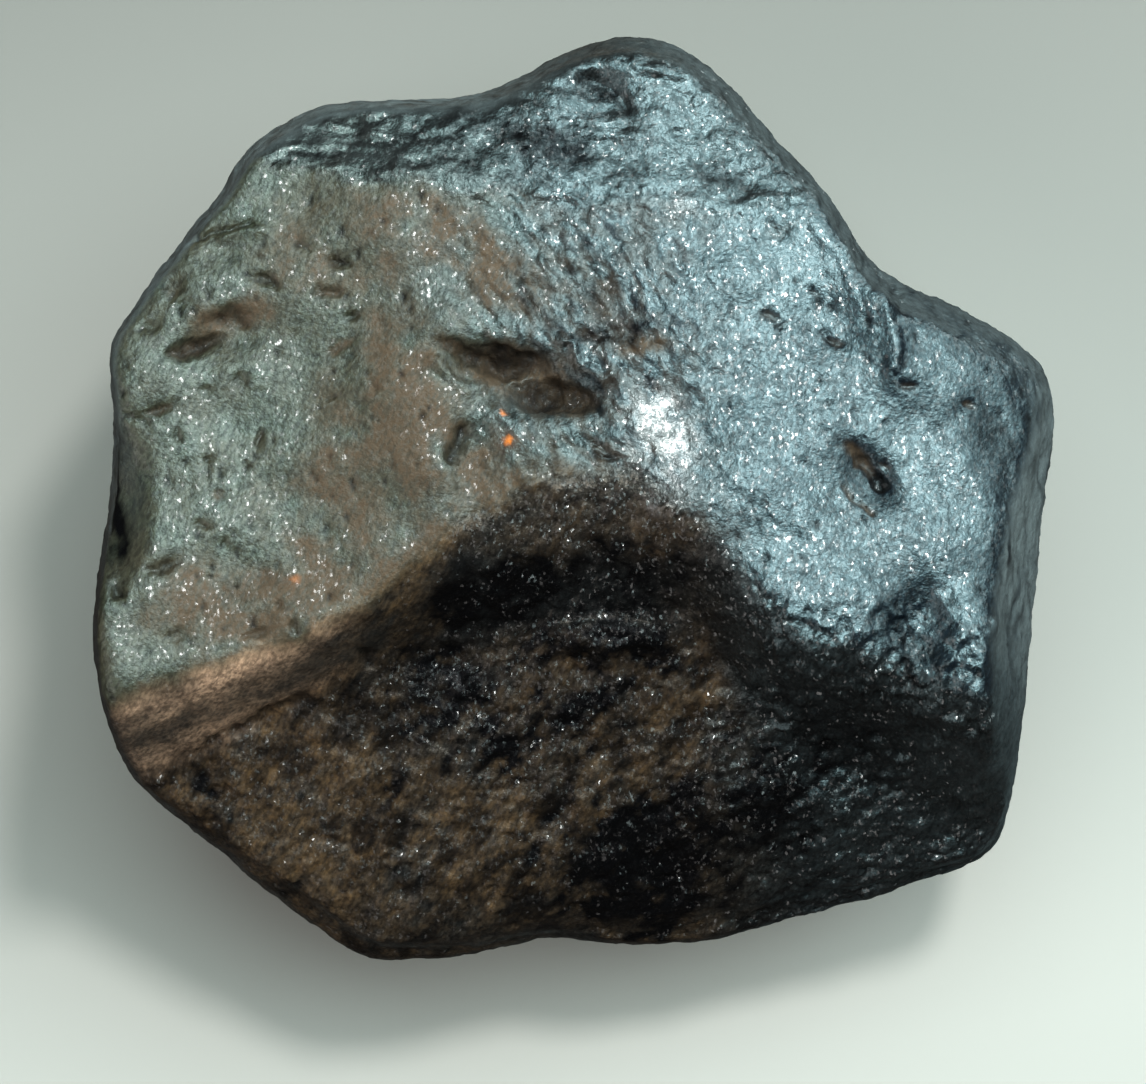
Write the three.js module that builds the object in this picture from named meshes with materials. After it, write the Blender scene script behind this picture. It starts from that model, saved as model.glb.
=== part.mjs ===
// Rough alexandrite: one water-worn pebble of dark chrysoberyl, about 28 x 27 x 15 mm.
//
// The stone lies on a small worn flat on its underside, with its broad side up. It is one solid, made
// of an upper and a lower side that meet at the rim, the widest line of the stone. The upper side is a
// set of worn flats with soft edges. A ledge crosses it from left to right and steps down to a lower
// terrace, and a second, shorter ledge steps down to a sloping band and to the lobe at the far end.
// Hollows, swellings and grooves are then pressed into both sides.
//
// Units are millimetres and +Z is up. The origin lies under the middle of the rim, on the resting flat.
import * as THREE from "three";
import { mergeVertices } from "three/addons/utils/BufferGeometryUtils.js";

// ---- Driving dimensions ----

const BELLY_HEIGHT = 6.9; // height that the depths of the underside are measured down from
const LEAST_RISE = 1.2; // the upper side stays at least this far above the rim
const LOWER_SQUARENESS = 2.7; // 2 is a round underside, and more is a flatter one with a tighter edge
const TYPICAL_REACH = 13.5; // middle to rim, for spacing the mesh
const TYPICAL_RISE = 4.5; // rim to upper side
const TYPICAL_DEPTH = 8; // rim to underside
const MESH_DETAIL = 21; // 20 x (MESH_DETAIL + 1)^2 triangles
const PROFILE_STEPS = 200; // steps by which a profile's length is summed
const RIM_POLAR = THREE.MathUtils.degToRad(112); // directions above this angle from +Z form the upper side
const EDGE_SOFTNESS = 0.8; // width over which two flats run into each other
const FLANK_WEAR = 1.6; // wear of the flanks between the brow and the rim, for each millimetre of brow
const FLANK_PATCHES = 7; // worn patches round the stone
const FLANK_TWIST = 5; // how far the patches lean round the stone on their way up
const FORM_FADE = 1.6; // how fast a hollow or swelling fades towards the ends of its half sizes
const LOWER_WAVES = 2.5; // how much stronger the low waves are on the underside

// The rim seen from above, anticlockwise from the right-hand corner, as [x, y].
const RIM = [
  [14.0, 2.6],
  [13.85, 3.5],
  [13.45, 4.15],
  [12.5, 4.85],
  [11.05, 5.65],
  [9.55, 6.3],
  [8.75, 6.8],
  [8.1, 7.7],
  [7.55, 8.6],
  [6.85, 9.5],
  [5.75, 10.65],
  [4.8, 11.8],
  [3.75, 12.8],
  [2.75, 13.35],
  [1.6, 13.55],
  [0.45, 13.35],
  [-0.8, 12.8],
  [-1.95, 12.15],
  [-3.1, 11.8],
  [-4.55, 11.65],
  [-6.3, 11.65],
  [-7.55, 11.45],
  [-8.5, 10.95],
  [-9.4, 10.3],
  [-9.95, 9.7],
  [-10.2, 8.95],
  [-10.95, 8.2],
  [-11.6, 7.15],
  [-12.25, 6.45],
  [-12.65, 5.65],
  [-13.3, 4.95],
  [-13.5, 4.4],
  [-13.35, 2.5],
  [-13.5, -0.3],
  [-13.8, -2.2],
  [-13.95, -4.15],
  [-13.75, -5.8],
  [-13.35, -7.15],
  [-12.95, -8.1],
  [-11.85, -9.15],
  [-10.3, -10.35],
  [-9.2, -11.35],
  [-8.1, -12.15],
  [-6.75, -13.15],
  [-6.1, -13.5],
  [-5.15, -13.55],
  [-3.55, -13.45],
  [-2.2, -13.2],
  [-1.05, -12.9],
  [0.3, -12.95],
  [1.9, -13.15],
  [3.7, -13.0],
  [5.6, -12.6],
  [7.5, -12.0],
  [8.95, -11.7],
  [10.15, -11.2],
  [11.45, -10.85],
  [12.5, -10.2],
  [12.8, -9.15],
  [13.1, -6.9],
  [13.35, -3.65],
  [13.8, 0.9],
];

// The rim's height, and the width of the rounded brow above it, as [degrees from +X, height, width].
const BROW = [
  [-180, 11.6, 0.3],
  [-160, 10.8, 0.35],
  [-143, 8.8, 0.6],
  [-120, 7.2, 1.0],
  [-95, 6.6, 1.0],
  [-70, 5.8, 1.3],
  [-40, 7.0, 1.4],
  [-10, 9.4, 1.7],
  [12, 10.3, 1.8],
  [28, 10.2, 1.3],
  [45, 10.6, 0.7],
  [62, 9.8, 0.8],
  [84, 9.2, 0.8],
  [110, 10.0, 0.6],
  [140, 10.8, 0.5],
  [160, 11.8, 0.35],
  [180, 11.6, 0.3],
];

// Flats of the upper side: each passes through a point and rises along X and Y by its slope.
const UPPER_FLATS = [
  { at: [-6.0, 0.0, 14.6], slope: [0.0, -0.12] }, // broad left flat
  { at: [1.0, 5.0, 14.5], slope: [-0.03, -0.2] }, // far middle
  { at: [8.0, 2.0, 13.9], slope: [-0.12, -0.22] }, // right flat
  { at: [10.8, 1.0, 13.5], slope: [-0.3, -0.14] }, // slope from the right flat to its flank
  { at: [-10.2, 8.4, 13.4], slope: [0.1, -0.26] }, // scalloped far left corner
];

// Flats of the lower terrace, which lies in front of the front ledge.
const TERRACE_FLATS = [
  { at: [-8.0, -6.0, 13.3], slope: [0.1, 0.42] }, // left
  { at: [0.5, -4.2, 11.9], slope: [0.0, 0.34] }, // middle
  { at: [2.2, -10.5, 9.3], slope: [-0.2, 0.95] }, // steep front brow
  { at: [9.5, -6.0, 12.4], slope: [-0.2, 0.48] }, // right
];

// Flats beyond the far ledge.
const FAR_FLATS = [
  { at: [-6.0, 10.4, 12.7], slope: [0.12, -0.5] }, // sloping band behind the broad left flat
  { at: [1.8, 11.0, 12.4], slope: [-0.1, -0.22] }, // lobe
];

// The two ledges run from left to right. Each row is [x, y of the top edge, y of the foot].
const FRONT_LEDGE = [
  [-14.0, -6.2, -8.4],
  [-11.0, -5.0, -7.3],
  [-8.1, -4.1, -5.9],
  [-5.7, -2.8, -4.7],
  [-4.1, -1.2, -4.4],
  [-2.6, -0.1, -4.2],
  [-0.4, 1.0, -3.8],
  [1.7, 1.0, -3.7],
  [3.7, -0.7, -4.5],
  [6.2, -3.2, -7.2],
  [8.2, -4.0, -8.2],
  [9.8, -4.7, -8.8],
  [11.5, -5.5, -9.5],
  [14.0, -6.5, -10.3],
];
const FAR_LEDGE = [
  [-11.0, 10.8, 11.8],
  [-9.4, 10.2, 11.4],
  [-8.0, 9.6, 10.8],
  [-6.6, 9.0, 10.3],
  [-5.0, 9.3, 10.4],
  [-3.0, 8.7, 10.1],
  [-1.5, 9.1, 10.4],
  [0.0, 8.3, 10.0],
  [2.0, 8.6, 10.3],
  [4.0, 8.3, 9.9],
  [6.5, 8.6, 10.0],
];

// Hollows (negative) and swellings (positive) of the upper side: a centre, two half sizes, the turn of
// the first one from +X in degrees, the depth, and the crispness of the edge.
const UPPER_FORMS = [
  { at: [-8.4, 1.0], half: [4.6, 6.5], turn: 0, depth: -0.45, edge: 1.0 }, // dished left flat
  { at: [-1.5, 3.4], half: [2.5, 0.9], turn: -14, depth: -0.7, edge: 1.6 }, // pit in the middle
  { at: [-2.9, 1.4], half: [0.9, 1.8], turn: 4, depth: -0.35, edge: 1.4 }, // channel below the pit
  { at: [-5.2, 2.0], half: [2.6, 3.0], turn: -20, depth: 0.3, edge: 1.3 }, // swelling left of it
  { at: [1.7, 1.5], half: [1.3, 1.6], turn: 0, depth: 0.12, edge: 1.4 }, // low knob at the ledge's top
  { at: [8.5, 0.7], half: [1.2, 0.55], turn: -55, depth: -0.35, edge: 1.6 }, // pit on the right flat
  { at: [8.7, 5.6], half: [0.8, 2.8], turn: 18, depth: 0.3, edge: 1.4 }, // rib on the right flat
  { at: [12.2, 1.9], half: [0.7, 1.6], turn: 5, depth: -0.25, edge: 1.4 }, // hollow at the right brow
  { at: [-13.3, 0.0], half: [0.8, 2.4], turn: 4, depth: -1.1, edge: 2.0 }, // narrow chip in the left flank
  { at: [-10.2, 4.6], half: [1.6, 0.8], turn: 25, depth: -0.4, edge: 1.5 }, // dent on the left flat
  { at: [-10.3, 7.6], half: [1.2, 0.5], turn: 40, depth: -0.15, edge: 1.5 }, // shallow chip in the far corner
  { at: [0.9, 11.8], half: [1.2, 0.9], turn: -40, depth: -0.55, edge: 1.5 }, // hollow in the far lobe
  { at: [0.7, -4.1], half: [2.3, 0.55], turn: 4, depth: 0.6, edge: 1.4 }, // lip at the ledge's foot
  { at: [-3.2, -4.6], half: [2.3, 0.5], turn: 5, depth: -0.4, edge: 1.4 }, // trough beside it
  { at: [8.5, -7.0], half: [2.4, 1.8], turn: 20, depth: -0.9, edge: 1.4 }, // hollow on the front right
  { at: [9.7, -4.0], half: [0.9, 1.6], turn: -22, depth: -0.5, edge: 1.5 }, // notch in the ledge above it
  { at: [11.4, -4.4], half: [1.0, 1.6], turn: 0, depth: 0.35, edge: 1.6 }, // knob beside the notch
  { at: [2.6, -9.8], half: [1.6, 2.4], turn: 0, depth: -0.5, edge: 1.4 }, // hollow in the front brow
];

// Flats of the underside: depth below BELLY_HEIGHT at a point, and how it grows along X and Y.
const LOWER_FLATS = [
  { at: [0.0, 0.0, 7.6], slope: [0.05, -0.03] },
  { at: [-8.5, 3.5, 5.6], slope: [0.5, -0.1] },
  { at: [8.0, 4.5, 5.4], slope: [-0.45, -0.35] },
  { at: [-4.5, -8.0, 5.4], slope: [0.2, 0.55] },
  { at: [6.5, -7.0, 5.8], slope: [-0.3, 0.5] },
  { at: [-2.5, 9.0, 5.3], slope: [0.05, -0.6] },
];
const LOWER_FORMS = [
  { at: [-7.8, -3.6], half: [2.6, 1.6], turn: 35, depth: -0.8, edge: 1.4 },
  { at: [6.9, 1.8], half: [1.7, 3.2], turn: -20, depth: -0.7, edge: 1.4 },
  { at: [1.2, 8.4], half: [3.0, 1.2], turn: 10, depth: -0.7, edge: 1.4 },
  { at: [8.0, -6.2], half: [1.8, 1.2], turn: 50, depth: 0.5, edge: 1.4 },
  { at: [-9.3, 5.4], half: [1.5, 1.2], turn: 0, depth: 0.4, edge: 1.4 },
  { at: [-3.5, -10.2], half: [2.2, 1.2], turn: -15, depth: -0.5, edge: 1.5 },
  { at: [11.0, -1.0], half: [1.2, 2.4], turn: 10, depth: -0.5, edge: 1.5 },
  { at: [-6.5, 9.0], half: [2.0, 1.0], turn: 30, depth: -0.45, edge: 1.5 },
];

// Low waves that keep every flat from being quite plane: a direction, a wavelength, a start and a height.
const WAVES = [
  { along: [0.9, 0.3, 0.2], length: 6.1, start: 0.4, height: 0.06 },
  { along: [-0.4, 0.8, 0.4], length: 4.7, start: 2.1, height: 0.05 },
  { along: [0.5, -0.6, 0.6], length: 3.4, start: 1.2, height: 0.04 },
  { along: [-0.8, -0.5, 0.3], length: 2.6, start: 3.0, height: 0.03 },
  { along: [0.1, 0.9, -0.4], length: 2.1, start: 5.2, height: 0.03 },
];

// ---- Small helpers ----

const smoothStep = (t) => THREE.MathUtils.smoothstep(t, 0, 1);

// The smaller of two heights, with the corner between them rounded over `softness`.
function softMin(a, b, softness) {
  const near = Math.max(softness - Math.abs(a - b), 0) / softness;
  return Math.min(a, b) - (near * near * softness) / 4;
}

// Height of a sloping flat at (x, y).
function flatHeight({ at, slope }, x, y) {
  return at[2] + slope[0] * (x - at[0]) + slope[1] * (y - at[1]);
}

function lowestFlat(flats, x, y) {
  const heights = flats.map((flat) => flatHeight(flat, x, y));
  return heights.reduce((a, b) => softMin(a, b, EDGE_SOFTNESS));
}

// One column of a list of rows at x, the first column, along a smooth curve through them.
function alongRows(rows, x, column) {
  const last = rows.length - 1;
  if (x <= rows[0][0]) return rows[0][column];
  if (x >= rows[last][0]) return rows[last][column];
  const i = rows.findIndex((row) => row[0] > x) - 1;
  const rise = (a, b) => (rows[b][column] - rows[a][column]) / (rows[b][0] - rows[a][0]);
  const width = rows[i + 1][0] - rows[i][0];
  const before = rise(Math.max(i - 1, 0), i + 1) * width;
  const after = rise(i, Math.min(i + 2, last)) * width;
  const t = (x - rows[i][0]) / width;
  const [a, b] = [rows[i][column], rows[i + 1][column]];
  return a + t * (before + t * (3 * (b - a) - 2 * before - after + t * (2 * (a - b) + before + after)));
}

// How far (x, y) is beyond a ledge, from 0 at its top edge to 1 at its foot.
function ledgeShare(rows, x, y) {
  const top = alongRows(rows, x, 1);
  const foot = alongRows(rows, x, 2);
  return smoothStep((y - top) / (foot - top));
}

// Summed hollows and swellings at (x, y): each fades from its full depth to nothing at its edge.
function formHeight(forms, x, y) {
  let height = 0;
  for (const { at, half, turn, depth, edge } of forms) {
    const angle = THREE.MathUtils.degToRad(turn);
    const [dx, dy] = [x - at[0], y - at[1]];
    const u = (dx * Math.cos(angle) + dy * Math.sin(angle)) / half[0];
    const v = (dy * Math.cos(angle) - dx * Math.sin(angle)) / half[1];
    height += depth * Math.exp(-FORM_FADE * (u * u + v * v) ** edge);
  }
  return height;
}

function waveHeight(x, y, z) {
  let height = 0;
  for (const { along, length, start, height: size } of WAVES) {
    const [a, b, c] = along;
    height += size * Math.sin(((a * x + b * y + c * z) * 2 * Math.PI) / length + start);
  }
  return height;
}

// ---- The stone's surface ----

// Distance from the middle to the rim in a direction, read off a closed curve through RIM.
function rimReach() {
  const curve = new THREE.CatmullRomCurve3(
    RIM.map(([x, y]) => new THREE.Vector3(x, y, 0)),
    true,
    "centripetal",
  );
  const turns = 720;
  const around = curve.getPoints(turns * 4).map((p) => [Math.atan2(p.y, p.x), Math.hypot(p.x, p.y)]);
  around.sort((a, b) => a[0] - b[0]);
  const angles = around.map(([angle]) => angle);
  return (angle) => {
    let low = 0;
    let high = angles.length - 1;
    while (high - low > 1) {
      const middle = (low + high) >> 1;
      if (angles[middle] > angle) high = middle;
      else low = middle;
    }
    const t = (angle - angles[low]) / (angles[high] - angles[low]);
    return THREE.MathUtils.lerp(around[low][1], around[high][1], THREE.MathUtils.clamp(t, 0, 1));
  };
}

// A point a share of the way along a curve, which is given for steps from 0 to 1 as pairs of numbers,
// with `scale` to turn a pair into millimetres. Equal shares give equal spacing.
function pointAlong(curve, scale, share) {
  const points = [];
  let length = 0;
  for (let i = 0; i <= PROFILE_STEPS; i++) {
    const [a, b] = curve(i / PROFILE_STEPS);
    if (i > 0) length += Math.hypot((a - points[i - 1][0]) * scale[0], (b - points[i - 1][1]) * scale[1]);
    points.push([a, b, length]);
  }
  const target = share * length;
  const i = Math.max(points.findIndex((p) => p[2] >= target), 1);
  const [from, to] = [points[i - 1], points[i]];
  const t = (target - from[2]) / (to[2] - from[2]);
  return [THREE.MathUtils.lerp(from[0], to[0], t), THREE.MathUtils.lerp(from[1], to[1], t)];
}

// The upper side's profile from the middle to the rim: level as far as the brow, then a quarter of an
// ellipse. Gives the distance out in millimetres and the share of the full rise.
function upperProfile(share, reach, width) {
  const level = reach - width;
  const curve = (t) => {
    if (t < 0.5) return [2 * t * level, 1];
    const angle = (2 * t - 1) * (Math.PI / 2);
    return [level + width * Math.sin(angle), Math.cos(angle)];
  };
  return pointAlong(curve, [1, TYPICAL_RISE], share);
}

// The underside's profile: a quarter of a superellipse, as shares of its reach and its depth.
function lowerProfile(share) {
  const curve = (t) => {
    const [sine, cosine] = [Math.sin((t * Math.PI) / 2), Math.max(Math.cos((t * Math.PI) / 2), 0)];
    const size = (sine ** LOWER_SQUARENESS + cosine ** LOWER_SQUARENESS) ** (-1 / LOWER_SQUARENESS);
    return [sine * size, cosine * size];
  };
  return pointAlong(curve, [TYPICAL_REACH, TYPICAL_DEPTH], share);
}

// How far the flank is worn in below a brow of this width, at a share of the rise from the rim.
function flankWear(share, around, width) {
  const patches = (1 + Math.sin(FLANK_PATCHES * around + FLANK_TWIST * share)) / 2;
  return FLANK_WEAR * width * patches * share * share * (1 - share);
}

// Height of the upper side at (x, y), before its brow is rounded down to the rim.
function upperHeight(x, y) {
  let height = lowestFlat(UPPER_FLATS, x, y);
  height = THREE.MathUtils.lerp(height, lowestFlat(TERRACE_FLATS, x, y), ledgeShare(FRONT_LEDGE, x, y));
  height = THREE.MathUtils.lerp(height, lowestFlat(FAR_FLATS, x, y), ledgeShare(FAR_LEDGE, x, y));
  return height + formHeight(UPPER_FORMS, x, y);
}

const reachAt = rimReach();

// The point of the stone's surface that a direction from its middle leads to.
function surfacePoint(direction) {
  const polar = Math.acos(THREE.MathUtils.clamp(direction.z, -1, 1));
  const around = Math.atan2(direction.y, direction.x);
  const reach = reachAt(around);
  const rim = alongRows(BROW, THREE.MathUtils.radToDeg(around), 1);
  const width = alongRows(BROW, THREE.MathUtils.radToDeg(around), 2);
  if (polar <= RIM_POLAR) {
    const [out, up] = upperProfile(polar / RIM_POLAR, reach, width);
    const radius = out - flankWear(up, around, width);
    const [x, y] = [radius * Math.cos(around), radius * Math.sin(around)];
    const rise = Math.max(upperHeight(x, y) - rim, LEAST_RISE);
    return new THREE.Vector3(x, y, rim + (rise + waveHeight(x, y, rim + rise * up)) * up);
  }
  const [out, down] = lowerProfile((Math.PI - polar) / (Math.PI - RIM_POLAR));
  const [x, y] = [out * reach * Math.cos(around), out * reach * Math.sin(around)];
  const depth = lowestFlat(LOWER_FLATS, x, y) + formHeight(LOWER_FORMS, x, y) + rim - BELLY_HEIGHT;
  const wave = LOWER_WAVES * waveHeight(x, y, rim - depth * down);
  return new THREE.Vector3(x, y, Math.max(rim - (depth - wave) * down, 0));
}

// A sphere of even triangles, with each vertex led to the stone's surface.
function stoneGeometry() {
  const sphere = new THREE.IcosahedronGeometry(1, MESH_DETAIL);
  sphere.deleteAttribute("normal");
  sphere.deleteAttribute("uv");
  const geometry = mergeVertices(sphere, 1e-5);
  const position = geometry.getAttribute("position");
  const direction = new THREE.Vector3();
  for (let i = 0; i < position.count; i++) {
    direction.fromBufferAttribute(position, i).normalize();
    const point = surfacePoint(direction);
    position.setXYZ(i, point.x, point.y, point.z);
  }
  geometry.computeBoundingBox();
  const middle = geometry.boundingBox.getCenter(new THREE.Vector3());
  geometry.translate(-middle.x, -middle.y, 0);
  geometry.computeVertexNormals();
  return geometry;
}

// ---- The part ----

const stoneMaterial = new THREE.MeshStandardMaterial({
  color: new THREE.Color(0.05, 0.05, 0.045),
  roughness: 0.42,
  metalness: 0.0,
});

const stone = new THREE.Mesh(stoneGeometry(), stoneMaterial);
stone.name = "stone";

const part = new THREE.Group();
part.name = "rough_alexandrite";
part.add(stone);

export default part;
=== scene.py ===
"""Looks of the rough alexandrite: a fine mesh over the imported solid, its material, and a pale studio.

The stone lies with its broad side up and the camera looks straight down on it. Lengths in the tables
below are millimetres in the frame of the CAD part: +X to the right of the picture, +Y to its top.
"""

import math

import bpy
import numpy as np
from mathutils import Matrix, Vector
from mathutils.kdtree import KDTree


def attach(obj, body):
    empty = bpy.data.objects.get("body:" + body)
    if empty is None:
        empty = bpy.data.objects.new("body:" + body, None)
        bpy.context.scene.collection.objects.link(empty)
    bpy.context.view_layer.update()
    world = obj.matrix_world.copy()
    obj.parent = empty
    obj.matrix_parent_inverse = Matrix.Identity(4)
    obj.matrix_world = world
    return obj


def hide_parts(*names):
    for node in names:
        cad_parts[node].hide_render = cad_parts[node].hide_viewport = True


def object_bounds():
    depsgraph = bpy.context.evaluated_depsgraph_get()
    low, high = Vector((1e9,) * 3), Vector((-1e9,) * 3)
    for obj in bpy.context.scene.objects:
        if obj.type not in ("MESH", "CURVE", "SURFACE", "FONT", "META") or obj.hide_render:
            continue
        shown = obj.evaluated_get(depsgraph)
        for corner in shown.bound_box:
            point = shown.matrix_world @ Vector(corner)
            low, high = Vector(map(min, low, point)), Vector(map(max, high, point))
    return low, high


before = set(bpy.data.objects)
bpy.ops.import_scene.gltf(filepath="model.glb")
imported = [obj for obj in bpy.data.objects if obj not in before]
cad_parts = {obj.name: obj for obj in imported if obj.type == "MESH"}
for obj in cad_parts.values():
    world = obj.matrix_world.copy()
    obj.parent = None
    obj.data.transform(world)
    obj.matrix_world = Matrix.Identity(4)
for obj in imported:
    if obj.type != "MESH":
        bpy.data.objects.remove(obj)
cad_low, cad_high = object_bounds()

MM = 0.001

# ---- Camera ----

PICTURE = (1146, 1084)  # pixels
PIXELS_PER_MM = 34.0
STONE_MIDDLE = (575.0, 500.5)  # the pixel where X and Y are 0
CAMERA_HEIGHT = 320.0
FOCUS_HEIGHT = 7.5  # height at which the scale above holds
SENSOR_WIDTH = 36.0
NEAREST_SEEN = 0.01  # metres

# ---- Zones of the upper side ----

# The front ledge, from left to right, as [x, y of the top edge, y of the foot].
FRONT_LEDGE = [
    (-14.0, -6.2, -8.4),
    (-11.0, -5.0, -7.3),
    (-8.1, -4.1, -5.9),
    (-5.7, -2.8, -4.7),
    (-4.1, -1.2, -4.4),
    (-2.6, -0.1, -4.2),
    (-0.4, 1.0, -3.8),
    (1.7, 1.0, -3.7),
    (3.7, -0.7, -4.5),
    (6.2, -3.2, -7.2),
    (8.2, -4.0, -8.2),
    (9.8, -4.7, -8.8),
    (11.5, -5.5, -9.5),
    (14.0, -6.5, -10.3),
]
# Top edge of the far ledge, as [x, y].
FAR_LEDGE = [
    (-11.0, 10.8),
    (-9.4, 10.2),
    (-8.0, 9.6),
    (-6.6, 9.0),
    (-5.0, 9.3),
    (-3.0, 8.7),
    (-1.5, 9.1),
    (0.0, 8.3),
    (2.0, 8.6),
    (4.0, 8.3),
    (6.5, 8.6),
    (9.0, 9.5),
]

# ---- Marks of the upper side ----

# Pits and knobs as [x, y, half length, half width, turn in degrees, height, edge, brown].
# A higher edge number is a crisper rim, and brown is how much of the brown skin shows in it.
PITS = [
    (-11.0, 4.35, 0.80, 0.22, 17, -0.22, 2.0, 0.9),
    (-10.0, 5.25, 0.60, 0.28, 14, -0.16, 1.6, 0.8),
    (-9.55, 5.15, 0.18, 0.14, 0, -0.14, 2.0, 0.2),
    (-8.90, 6.30, 0.45, 0.15, -20, -0.16, 2.0, 0.5),
    (-6.75, 6.87, 0.30, 0.13, -10, -0.18, 2.0, 0.4),
    (-7.10, 5.98, 0.52, 0.14, 4, -0.12, 2.0, 0.9),
    (-6.40, 5.28, 0.22, 0.12, 20, -0.12, 2.0, 0.2),
    (-7.85, 7.35, 0.30, 0.07, -42, -0.10, 1.6, 0.2),
    (-6.80, 4.40, 0.50, 0.12, 30, -0.06, 1.6, 0.9),
    (-9.10, 1.75, 0.12, 0.34, -10, -0.12, 2.0, 0.5),
    (-10.5, 1.10, 0.14, 0.11, 0, -0.10, 2.0, 0.3),
    (-9.45, 0.95, 0.15, 0.13, 0, -0.08, 2.0, 0.3),
    (-10.2, 0.15, 0.20, 0.22, 0, -0.07, 1.6, 0.7),
    (-11.45, 1.85, 0.12, 0.18, 0, -0.09, 2.0, 0.2),
    (-7.00, 2.95, 0.17, 0.10, 0, -0.09, 2.0, 0.2),
    (-5.80, 3.30, 0.10, 0.13, 0, -0.08, 2.0, 0.2),
    (-12.0, 2.55, 0.55, 0.16, 12, -0.14, 2.0, 0.7),
    (-9.70, 3.45, 0.22, 0.20, 0, -0.08, 1.6, 0.3),
    (-10.6, 3.10, 0.22, 0.15, 0, -0.08, 1.6, 0.3),
    (-11.6, 6.10, 0.40, 0.30, 60, -0.12, 1.6, 0.5),
    (-12.3, 5.00, 0.35, 0.22, 30, -0.10, 1.6, 0.3),
    (-10.7, -0.78, 0.28, 0.12, -10, -0.11, 2.0, 0.3),
    (-10.0, -1.30, 0.16, 0.16, 0, -0.08, 2.0, 0.2),
    (-11.9, -1.98, 0.55, 0.18, 18, -0.15, 2.0, 0.5),
    (-13.15, -2.60, 0.28, 0.24, 0, -0.22, 2.0, 0.2),
    (-8.80, -2.25, 0.60, 0.34, 8, -0.06, 1.4, 1.0),
    (-8.10, -3.65, 0.18, 0.22, 0, -0.14, 2.0, 0.5),
    (-9.10, -3.85, 0.45, 0.13, 12, -0.10, 2.0, 0.5),
    (-8.50, -3.05, 0.12, 0.14, 0, -0.10, 2.0, 0.2),
    (-11.5, -3.90, 0.35, 0.22, 35, -0.10, 1.6, 0.5),
    (-9.90, -2.80, 0.50, 0.30, 0, -0.06, 1.4, 0.8),
    (-6.05, -4.55, 0.20, 0.30, 20, -0.16, 2.0, 0.3),
    (5.60, 5.30, 0.26, 0.12, -15, -0.12, 1.6, 0.4),
    (6.00, 5.05, 0.16, 0.08, 20, -0.10, 1.6, 0.2),
    (7.55, 4.60, 0.30, 0.09, -12, -0.10, 1.6, 0.4),
    (7.20, 4.85, 0.12, 0.07, 0, -0.08, 1.6, 0.1),
    (8.10, 1.35, 0.42, 0.20, -25, -0.12, 1.6, 1.0),
    (8.42, 0.98, 0.34, 0.20, -65, -0.18, 1.6, 0.9),
    (8.74, 0.55, 0.28, 0.20, -20, -0.26, 1.8, 0.2),
    (8.15, 1.05, 0.16, 0.22, 20, -0.10, 1.6, 0.9),
    (8.95, 0.95, 0.14, 0.12, 0, -0.08, 1.6, 0.3),
    (7.95, 0.15, 0.34, 0.09, -40, -0.08, 1.6, 0.6),
    (8.40, -0.30, 0.30, 0.10, -50, -0.10, 1.6, 0.8),
    (-2.05, 3.95, 1.25, 0.42, -8, -0.30, 2.6, 1.0),
    (-0.60, 2.98, 1.25, 0.46, -4, -0.34, 2.6, 1.0),
    (-3.40, 4.35, 0.70, 0.24, -18, -0.14, 2.2, 0.9),
    (5.90, 7.80, 0.45, 0.20, 25, -0.07, 1.4, 0.2),
    (6.80, 6.05, 0.12, 0.08, 0, -0.08, 1.6, 0.2),
    (8.75, 6.20, 0.22, 0.12, 30, -0.14, 1.6, 0.1),
    (-1.35, 0.40, 0.30, 0.20, 0, 0.12, 1.6, 0.8),
    (2.59, -0.15, 0.20, 0.16, 0, 0.10, 1.6, 0.0),
    (3.00, -0.38, 0.16, 0.12, 0, 0.08, 1.6, 0.0),
    (0.60, 1.62, 0.40, 0.09, -18, -0.12, 1.6, 0.2),
    (1.00, 1.28, 0.45, 0.10, -12, -0.12, 1.6, 0.2),
    (-10.4, -8.50, 0.35, 0.22, 0, -0.18, 2.0, 0.2),
    (2.75, -6.90, 0.35, 0.25, 0, 0.10, 1.6, 0.8),
    (9.60, 3.30, 0.30, 0.12, -15, -0.12, 2.0, 0.3),
    (11.4, 2.80, 0.20, 0.12, -40, -0.12, 1.6, 0.6),
    (0.55, 12.1, 0.45, 0.25, -20, -0.12, 1.4, 0.1),
    (1.35, 11.6, 0.50, 0.22, -50, -0.14, 1.4, 0.1),
]

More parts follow.
